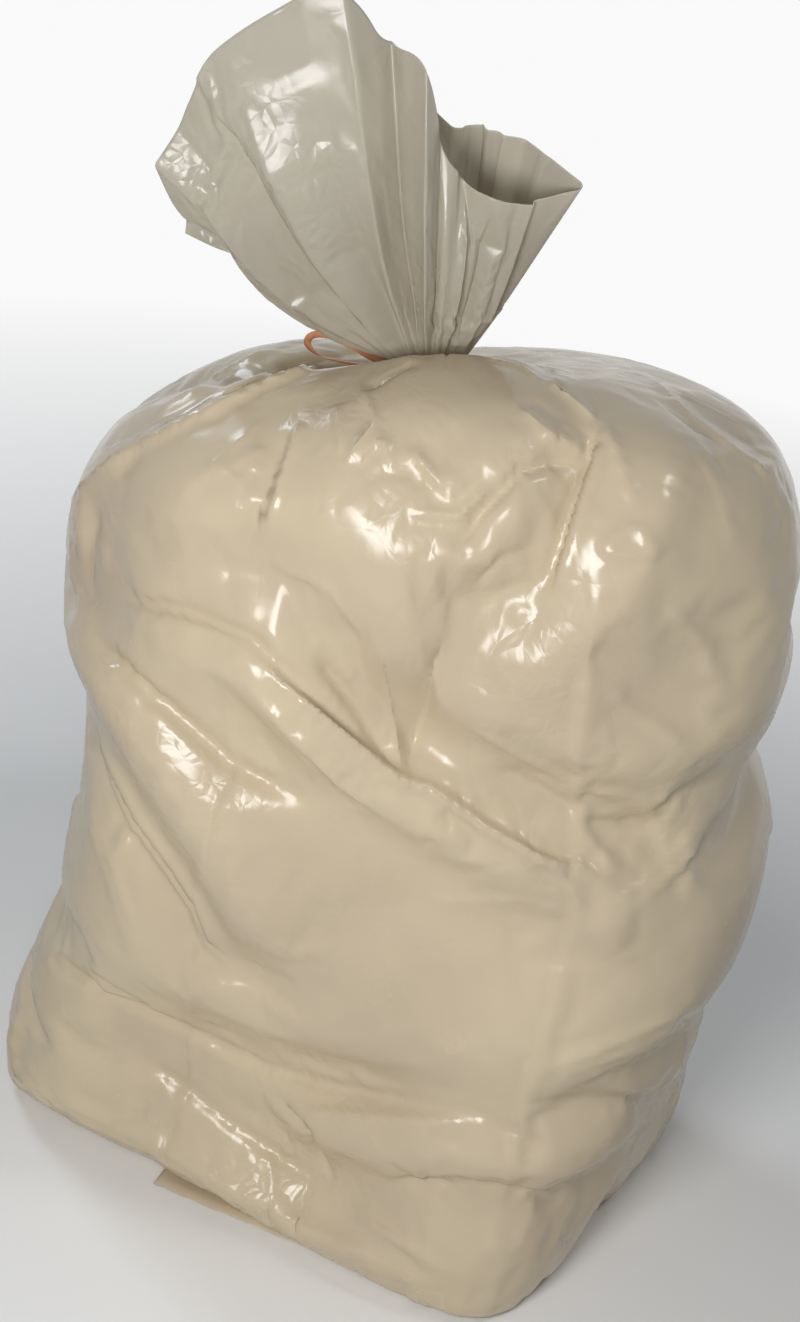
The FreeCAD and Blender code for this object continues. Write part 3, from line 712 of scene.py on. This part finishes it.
def seam_mesh():
    """The flat end seam under the body: a strip of film between the two edges that SEAM gives."""
    net = bmesh.new()
    bmesh.ops.create_grid(net, x_segments=SEAM_STEPS, y_segments=SEAM_ROWS, size=1.0)
    long_wave, short_wave = SEAM_RIPPLES
    for vert in net.verts:
        along, out = (vert.co.x + 1) / 2, (vert.co.y + 1) / 2
        inner = SEAM.left_inner.lerp(SEAM.right_inner, along)
        outer = SEAM.left_outer.lerp(SEAM.right_outer, along)
        place = inner.lerp(outer, out)
        wave = math.sin(long_wave * along) * math.cos(short_wave * along)
        ripple = SEAM_RIPPLE * (1 + wave) * out
        vert.co = (place.x, place.y, SEAM_LIFT + ripple)
    bmesh.ops.recalc_face_normals(net, faces=net.faces)
    return mesh_of(net, "bag_seam")


def periodic(keys, angles):
    """Smooth values at angles in degrees through (angle, value) keys round the circle."""
    places = np.array([key[0] for key in keys], dtype=float)
    values = np.array([key[1] for key in keys], dtype=float)
    places = np.concatenate((places - 360, places, places + 360))
    values = np.tile(values, 3)
    slopes = np.gradient(values, places)
    k = np.clip(np.searchsorted(places, angles, side="right") - 1, 0, len(places) - 2)
    span = places[k + 1] - places[k]
    t = (angles - places[k]) / span
    return (
        (2 * t**3 - 3 * t**2 + 1) * values[k]
        + (t**3 - 2 * t**2 + t) * slopes[k] * span
        + (3 * t**2 - 2 * t**3) * values[k + 1]
        + (t**3 - t**2) * slopes[k + 1] * span
    )


def folded_wave(turns):
    """A wave of straight folds: -1 at whole turns and 1 half way between them."""
    return 1 - 4 * np.abs((turns % 1) - 0.5)


def pleat_height(pleat, angles, share):
    """Height of one pleat of the tail at each column of a row."""
    middle = pleat.neck + (pleat.mouth - pleat.neck) * share
    away = np.abs((angles - middle + 180) % 360 - 180)
    flank = np.clip(1 - away / pleat.width, 0, 1) ** PLEAT_SHARPNESS
    grown = np.clip((share - pleat.start) / PLEAT_STARTS, 0, 1)
    grown = grown * np.clip((pleat.end - share) / PLEAT_ENDS, 0, 1)
    return pleat.height * MM * flank * grown


def tail_grid():
    """The tail as rows of points from the neck up to the mouth, with its gathers."""
    angles = np.linspace(0, 360, TAIL_COLUMNS, endpoint=False)
    across, out, up = (periodic([(rim.angle, rim[k]) for rim in MOUTH], angles) for k in (1, 2, 3))
    reach = np.where(across > 0, TAIL_RIGHT, TAIL_LEFT)
    foot = np.array(TAIL_FOOT)
    mouth = foot + np.stack((across * reach, out * TAIL_DEPTH / 2, up * TAIL_HEIGHT), axis=1)
    turned = np.radians(angles)
    outward = np.stack((np.cos(turned), np.sin(turned), np.zeros_like(turned)), axis=1)
    neck = foot + outward * NECK_RADIUS
    to_left = np.clip(-outward[:, 0], 0, 1)[:, None] * np.array(DROOP_WAY)
    rows = []
    for share in np.linspace(0, 1, TAIL_ROWS):
        puff = TAIL_PUFF * math.sin(math.pi * share) * np.abs(outward[:, 1])
        grown = min(1.0, share / PLEATS_GROWN)
        wave = PLEAT_HEIGHT * grown * np.cos(TAIL_PLEATS * turned)
        fine = GATHER_HEIGHT * min(1.0, share / GATHERS_GROWN) * (1 - share) ** GATHERS_FADE
        wave += fine * folded_wave(FINE_GATHERS * turned / (2 * math.pi))
        for pleat in PLEATS:
            wave += pleat_height(pleat, angles, share)
        row = neck + (mouth - neck) * share + outward * (puff + wave)[:, None]
        droop = TAIL_DROOP * math.sin(math.pi * min(1.0, DROOP_ENDS * share))
        rows.append(row + to_left * droop)
    return np.stack(rows)


def tail_mesh(grid, name="bag_tail"):
    """Mesh of the tail: a flat net, rolled into a tube that is laid on the rows of the tail."""
    rows, columns = grid.shape[:2]
    net = bmesh.new()
    bmesh.ops.create_grid(net, x_segments=columns, y_segments=rows - 1, size=1.0)
    place = net.verts.layers.int.new("place")
    for vert in net.verts:
        column = round((vert.co.x + 1) / 2 * columns) % columns
        row = round((vert.co.y + 1) / 2 * (rows - 1))
        vert.co = grid[row, column]
        vert[place] = row * columns + column
    bmesh.ops.remove_doubles(net, verts=net.verts, dist=0.001 * MM)
    bmesh.ops.recalc_face_normals(net, faces=net.faces)
    places = [divmod(vert[place], columns) for vert in net.verts]
    return mesh_of(net, name), np.array(places)


def add_node(tree, kind, inputs=None, **settings):
    """New shader node with its settings, and its sockets set to values or linked to outputs."""
    node = tree.nodes.new(kind)
    for name, value in settings.items():
        setattr(node, name, value)
    for name, value in (inputs or {}).items():
        if isinstance(value, bpy.types.NodeSocket):
            tree.links.new(value, node.inputs[name])
        else:
            node.inputs[name].default_value = value
    return node


def new_material(name):
    """New material, its empty tree and the place of each point in its object."""
    material = bpy.data.materials.new(name)
    material.use_nodes = True
    tree = material.node_tree
    tree.nodes.clear()
    return material, tree, add_node(tree, "ShaderNodeTexCoord").outputs["Object"]


def add_noise(tree, place, scale, detail, inputs=None, **settings):
    """New cloudy noise."""
    inputs = {"Vector": place, "Scale": scale, "Detail": detail, **(inputs or {})}
    return add_node(tree, "ShaderNodeTexNoise", inputs, **settings)


def mixed_colour(tree, share, first, second):
    """Colour output that goes from the first colour to the second with a share."""
    inputs = {"Factor": share, MIX_FIRST: first, MIX_SECOND: second}
    return add_node(tree, "ShaderNodeMix", inputs, data_type="RGBA").outputs[MIX_RESULT]


def stretched(tree, value, low, high, new_low=0.0, new_high=1.0):
    """A value whose range is moved to a new one and kept within it."""
    node = add_node(
        tree,
        "ShaderNodeMapRange",
        {"Value": value, "From Min": low, "From Max": high, "To Min": new_low, "To Max": new_high},
    )
    return node.outputs["Result"]


def film_material(name, light, deep, settings, see_through):
    """Glossy, slightly milky film with its fine crumples."""
    material, tree, place = new_material(name)
    patches = add_noise(tree, place, scale=7.0, detail=3.0, inputs={"Roughness": 0.55})
    patch = stretched(tree, patches.outputs["Fac"], 0.3, 0.7)
    colour = mixed_colour(tree, patch, light, deep)

    bent = add_noise(tree, place, scale=9.0, detail=2.0)
    shifted = add_node(
        tree, "ShaderNodeVectorMath", {0: bent.outputs["Color"], 1: (0.08, 0.08, 0.08)}, operation="MULTIPLY"
    )
    warped = add_node(
        tree, "ShaderNodeVectorMath", {0: place, 1: shifted.outputs["Vector"]}, operation="ADD"
    ).outputs["Vector"]
    normal = None
    for facets in FILM_FACETS:
        cells = add_node(
            tree,
            "ShaderNodeTexVoronoi",
            {"Vector": warped, "Scale": facets.scale, "Randomness": 1.0},
            feature="DISTANCE_TO_EDGE",
        )
        drawn = {"W": facets.seed}
        patchy = add_noise(tree, place, scale=6.0, detail=1.0, inputs=drawn, noise_dimensions="4D")
        share = stretched(tree, patchy.outputs["Fac"], facets.start, facets.full)
        height = add_node(
            tree, "ShaderNodeMath", {0: cells.outputs["Distance"], 1: share}, operation="MULTIPLY"
        )
        inputs = {
            "Height": height.outputs["Value"],
            "Strength": settings.crumple,
            "Distance": facets.depth * MM,
        }
        if normal is not None:
            inputs["Normal"] = normal
        normal = add_node(tree, "ShaderNodeBump", inputs).outputs["Normal"]
    haze = add_noise(tree, place, scale=24.0, detail=3.0)
    roughness = stretched(tree, haze.outputs["Fac"], 0.3, 0.7, settings.gloss_low, settings.gloss_high)
    shader = add_node(
        tree,
        "ShaderNodeBsdfPrincipled",
        {
            "Base Color": colour,
            "Roughness": roughness,
            "Normal": normal,
            "IOR": 1.5,
            "Specular IOR Level": 0.33,
            "Subsurface Weight": see_through,
            "Subsurface Radius": (0.004, 0.0035, 0.003),
            "Subsurface Scale": 1.0,
        },
    )
    add_node(tree, "ShaderNodeOutputMaterial", {"Surface": shader.outputs["BSDF"]})
    return material


def body_film(settings):
    """The film of the body, which its seam shares."""
    known = bpy.data.materials.get("film_body")
    colours = tuple(settings.film_light), tuple(settings.film_deep)
    return known or film_material("film_body", *colours, settings, 0.0)


def ribbon_material(settings):
    """Soft, slightly see-through plastic ribbon with its lengthwise ribs."""
    material, tree, place = new_material("tie_ribbon")
    cloud = add_noise(tree, place, scale=130.0, detail=3.0)
    share = stretched(tree, cloud.outputs["Fac"], 0.3, 0.7)
    deeper = tuple(0.72 * part for part in settings.ribbon_colour[:3]) + (1.0,)
    colour = mixed_colour(tree, share, tuple(settings.ribbon_colour), deeper)
    grain = add_noise(tree, place, scale=500.0, detail=2.0)
    bump = add_node(
        tree, "ShaderNodeBump", {"Height": grain.outputs["Fac"], "Strength": 0.25, "Distance": 0.2 * MM}
    )
    roughness = stretched(tree, cloud.outputs["Fac"], 0.3, 0.7, 0.28, 0.42)
    shader = add_node(
        tree,
        "ShaderNodeBsdfPrincipled",
        {
            "Base Color": colour,
            "Roughness": roughness,
            "Normal": bump.outputs["Normal"],
            "Subsurface Weight": 0.2,
            "Subsurface Radius": (0.004, 0.002, 0.001),
        },
    )
    add_node(tree, "ShaderNodeOutputMaterial", {"Surface": shader.outputs["BSDF"]})
    return material


def ribbon_along(name, points, tilts, settings, cyclic=False):
    """Flat ribbon along a smooth line of points, as a mesh with its thickness."""
    curve = bpy.data.curves.new(name, "CURVE")
    curve.dimensions = "3D"
    curve.extrude = settings.ribbon_width / 2
    curve.resolution_u = 12
    curve.twist_mode = "MINIMUM"
    spline = curve.splines.new("BEZIER")
    spline.bezier_points.add(len(points) - 1)
    for point, place, tilt in zip(spline.bezier_points, points, tilts):
        point.co = place
        point.handle_left_type = "AUTO"
        point.handle_right_type = "AUTO"
        point.tilt = math.radians(tilt)
    spline.use_cyclic_u = cyclic
    line = new_object(name + "_line", curve)
    bpy.context.view_layer.update()
    graph = bpy.context.evaluated_depsgraph_get()
    flat = bpy.data.meshes.new_from_object(line.evaluated_get(graph), depsgraph=graph)
    bpy.data.objects.remove(line)
    net = bmesh.new()
    net.from_mesh(flat)
    bpy.data.meshes.remove(flat)
    bmesh.ops.remove_doubles(net, verts=net.verts, dist=0.01 * MM)
    bmesh.ops.recalc_face_normals(net, faces=net.faces)
    bmesh.ops.solidify(net, geom=net.faces[:], thickness=settings.ribbon_thickness)
    return mesh_of(net, name)


def colour(name, description, red, green, blue):
    """Setting for an opaque colour."""
    return bpy.props.FloatVectorProperty(
        name=name, description=description, default=(red, green, blue, 1.0), size=4, subtype="COLOR"
    )


def number(name, description, default, **kind):
    """Setting for a number, with its unit or its kind where it has one."""
    return bpy.props.FloatProperty(name=name, description=description, default=default, **kind)


class BagSettings(bpy.types.PropertyGroup):
    film_light: colour("Film, light", "The film where it lies on pale contents", 0.64, 0.54, 0.375)
    film_deep: colour("Film, deep", "The film where the contents show darker", 0.545, 0.45, 0.322)
    tail_light: colour("Tail, light", "The empty film of the tail", 0.56, 0.50, 0.395)
    tail_deep: colour("Tail, deep", "The tail's film in its darker patches", 0.46, 0.41, 0.325)
    crumple: number("Crumple", "Strength of the film's fine crumples", 0.5, subtype="FACTOR")
    gloss_low: number("Smoothest", "Roughness of the film where it is smoothest", 0.17, subtype="FACTOR")
    gloss_high: number("Roughest", "Roughness of the film where it is dullest", 0.28, subtype="FACTOR")
    see_through: number("Light in the tail", "Share of light that enters its film", 0.6, subtype="FACTOR")
    excess: number("Excess film", "How much larger the film is than the body in it", 0.024)
    tail_excess: number("Excess tail", "How much larger the tail's film is than its plain form", 0.018)
    bending: number("Stiffness", "The film's stiffness in bending", 1.0)
    cap: number("Furthest crumple", "Furthest that settling moves the film", 12 * MM, unit="LENGTH")
    film_thickness: number("Film thickness", "Wall of the loose film", 0.5 * MM, unit="LENGTH")


class TieSettings(bpy.types.PropertyGroup):
    ribbon_colour: colour("Ribbon", "Colour of the ribbon", 0.66, 0.29, 0.14)
    ribbon_width: number("Width", "Ribbon's width", 5 * MM, unit="LENGTH")
    ribbon_thickness: number("Thickness", "Ribbon's thickness", 0.5 * MM, unit="LENGTH")


class StageSettings(bpy.types.PropertyGroup):
    floor_colour: colour("Floor", "Colour of the floor", 0.88, 0.88, 0.88)
    key_power: number("Key light", "Power of the main soft light", 8.2, unit="POWER")
    fill_power: number("Fill light", "Power of the soft light on the other side", 3.5, unit="POWER")
    back_power: number("Back light", "Power of the cool light from behind", 9.0, unit="POWER")
    world_light: number("Room light", "Strength of the even light from all round", 0.17)


class BINBAG_OT_body(bpy.types.Operator):
    """Makes the body of the bag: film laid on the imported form, with its creases"""

    bl_idname = "binbag.body"
    bl_label = "Bag body"

    def execute(self, context):
        settings = context.scene.bag_settings
        grid = smoothed(film_grid(packed_form()), SMOOTHING)
        grid[..., 2] = np.maximum(grid[..., 2], 0.0)
        behind = back_creases()
        grid = creased(grid, CREASES, seen_line, BROAD_RELIEF, BROAD_SPREAD)
        grid = creased(grid, behind, round_line, BROAD_RELIEF, BROAD_SPREAD)
        grid[..., 2] = np.maximum(grid[..., 2], 0.0)
        grid = crumpled(grid, body_mesh, body_holds, settings.excess, settings)
        grid = creased(grid, CREASES, seen_line, SHARP_RELIEF, SHARP_SPREAD, DRAWN)
        grid = creased(grid, behind, round_line, BACK_RELIEF, BACK_SPREAD)
        grid[..., 2] = np.maximum(grid[..., 2], 0.0)
        piece = new_piece("bag_body", body_mesh(grid)[0], body_film(settings), nodes=("bag",))
        return {"FINISHED"}


class BINBAG_OT_seam(bpy.types.Operator):
    """Makes the flat end seam that sticks out under the body, of the body's film"""

    bl_idname = "binbag.seam"
    bl_label = "End seam"

    def execute(self, context):
        settings = context.scene.bag_settings
        seam = new_piece("bag_seam", seam_mesh(), body_film(settings), nodes=("bag",))
        wall = seam.modifiers.new("wall", "SOLIDIFY")
        wall.thickness = settings.film_thickness
        wall.offset = 0.0
        return {"FINISHED"}


class BINBAG_OT_tail(bpy.types.Operator):
    """Makes the open tail of the bag above its tie"""

    bl_idname = "binbag.tail"
    bl_label = "Bag tail"

    def execute(self, context):
        settings = context.scene.bag_settings
        material = film_material(
            "film_tail", tuple(settings.tail_light), tuple(settings.tail_deep), settings, settings.see_through
        )
        grid = tail_grid()
        grid = crumpled(grid, tail_mesh, tail_holds, settings.tail_excess, settings)
        piece = new_piece("bag_tail", tail_mesh(grid)[0], material, nodes=("bag",))
        wall = piece.modifiers.new("wall", "SOLIDIFY")
        wall.thickness = settings.film_thickness
        wall.offset = -1.0
        return {"FINISHED"}


class BINBAG_OT_tie(bpy.types.Operator):
    """Makes the ribbon: its winding round the neck, its knot and its loop"""

    bl_idname = "binbag.tie"
    bl_label = "Ribbon tie"

    def execute(self, context):
        settings = context.scene.tie_settings
        material = ribbon_material(settings)
        radius = NECK_RADIUS + WINDING_CLEARANCE
        turns = []
        for step in range(WINDING_POINTS):
            angle = math.radians(180 + step * WINDING_TURN)
            grown = radius + WINDING_GROWTH * step
            height = WINDING_WANDER * math.sin(step * WINDING_WAVE)
            turns.append(NECK_TOP + Vector((grown * math.cos(angle), grown * math.sin(angle), height)))
        winding = ribbon_along("tie_winding", turns, [90] * len(turns), settings)
        knot = NECK_TOP + Vector((-(radius + KNOT_OUT), 0, 0))
        line = [knot + Vector(place) * MM for place, tilt in LOOP]
        loop = ribbon_along("tie_loop", line, [tilt for place, tilt in LOOP], settings, cyclic=True)
        for name, mesh in (("tie_winding", winding), ("tie_loop", loop)):
            piece = new_piece(name, mesh, material, nodes=("tie",))
        return {"FINISHED"}


def add_lamp(lamp, power):
    """A soft round lamp that is turned to the bag."""
    data = bpy.data.lights.new(lamp.name, "AREA")
    data.shape = "DISK"
    data.size = lamp.width
    data.energy = power
    data.color = lamp.colour
    light = new_object(lamp.name, data)
    light.location = lamp.place
    way = Vector(LAMP_TARGET) - Vector(lamp.place)
    light.rotation_euler = way.to_track_quat("-Z", "Y").to_euler()


class BINBAG_OT_stage(bpy.types.Operator):
    """Makes the floor, the lights and the camera"""

    bl_idname = "binbag.stage"
    bl_label = "Floor, lights and camera"

    def execute(self, context):
        settings = context.scene.stage_settings
        scene = context.scene
        net = bmesh.new()
        bmesh.ops.create_grid(net, x_segments=1, y_segments=1, size=FLOOR_REACH)
        mesh = mesh_of(net, "floor")
        floor = new_object("floor", mesh)
        material = bpy.data.materials.new("floor")
        material.use_nodes = True
        tree = material.node_tree
        shader = tree.nodes["Principled BSDF"]
        shader.inputs["Base Color"].default_value = settings.floor_colour
        shader.inputs["Roughness"].default_value = FLOOR_ROUGHNESS
        place = add_node(tree, "ShaderNodeTexCoord").outputs["Object"]
        far = add_node(tree, "ShaderNodeVectorMath", {0: place}, operation="LENGTH").outputs["Value"]
        share = stretched(tree, far, *FLOOR_FADES)
        clear = add_node(tree, "ShaderNodeBsdfTransparent")
        blend = add_node(
            tree, "ShaderNodeMixShader", {0: share, 1: shader.outputs["BSDF"], 2: clear.outputs["BSDF"]}
        )
        tree.links.new(blend.outputs["Shader"], tree.nodes["Material Output"].inputs["Surface"])
        mesh.materials.append(material)

        world = bpy.data.worlds.new("room")
        world.use_nodes = True
        tree = world.node_tree
        tree.nodes.clear()
        path = add_node(tree, "ShaderNodeLightPath")
        seen = path.outputs["Is Camera Ray"]
        for ray in ("Is Glossy Ray", "Is Transmission Ray"):
            seen = add_node(
                tree, "ShaderNodeMath", {0: seen, 1: path.outputs[ray]}, operation="MAXIMUM"
            ).outputs["Value"]
        strength = stretched(tree, seen, 0.0, 1.0, settings.world_light, ROOM_SEEN)
        sky = add_node(tree, "ShaderNodeBackground", {"Color": (1.0, 1.0, 1.0, 1.0), "Strength": strength})
        add_node(tree, "ShaderNodeOutputWorld", {"Surface": sky.outputs["Background"]})
        scene.world = world

        powers = (settings.key_power, settings.fill_power, settings.back_power)
        for lamp, power in zip(LAMPS, powers):
            add_lamp(lamp, power)

        data = bpy.data.cameras.new("camera")
        data.sensor_width = 36.0
        data.lens = data.sensor_width * PHOTO_FOCAL / PHOTO_HEIGHT
        data.clip_start = 0.05
        camera = new_object("camera", data)
        right, up, back = camera_axes()
        turn = Matrix((right, up, back)).transposed()
        camera.matrix_world = Matrix.Translation(camera_place()) @ turn.to_4x4()
        scene.camera = camera
        scene.view_settings.view_transform = "Standard"
        return {"FINISHED"}


class BINBAG_PT_panel(bpy.types.Panel):
    bl_label = "Filled bin bag"
    bl_idname = "BINBAG_PT_panel"
    bl_space_type = "VIEW_3D"
    bl_region_type = "UI"
    bl_category = "Bin bag"

    def draw(self, context):
        for operator in OPERATORS:
            self.layout.operator(operator.bl_idname)


OPERATORS = (BINBAG_OT_body, BINBAG_OT_seam, BINBAG_OT_tail, BINBAG_OT_tie, BINBAG_OT_stage)
GROUPS = (("bag_settings", BagSettings), ("tie_settings", TieSettings), ("stage_settings", StageSettings))


def register():
    for name, group in GROUPS:
        bpy.utils.register_class(group)
        setattr(bpy.types.Scene, name, bpy.props.PointerProperty(type=group))
    for item in OPERATORS + (BINBAG_PT_panel,):
        bpy.utils.register_class(item)


def unregister():
    for item in reversed(OPERATORS + (BINBAG_PT_panel,)):
        bpy.utils.unregister_class(item)
    for name, group in reversed(GROUPS):
        delattr(bpy.types.Scene, name)
        bpy.utils.unregister_class(group)


def main():
    register()
    bpy.ops.binbag.body()
    bpy.ops.binbag.seam()
    bpy.ops.binbag.tail()
    bpy.ops.binbag.tie()
    bpy.ops.binbag.stage()


if __name__ == "__main__":
    main()
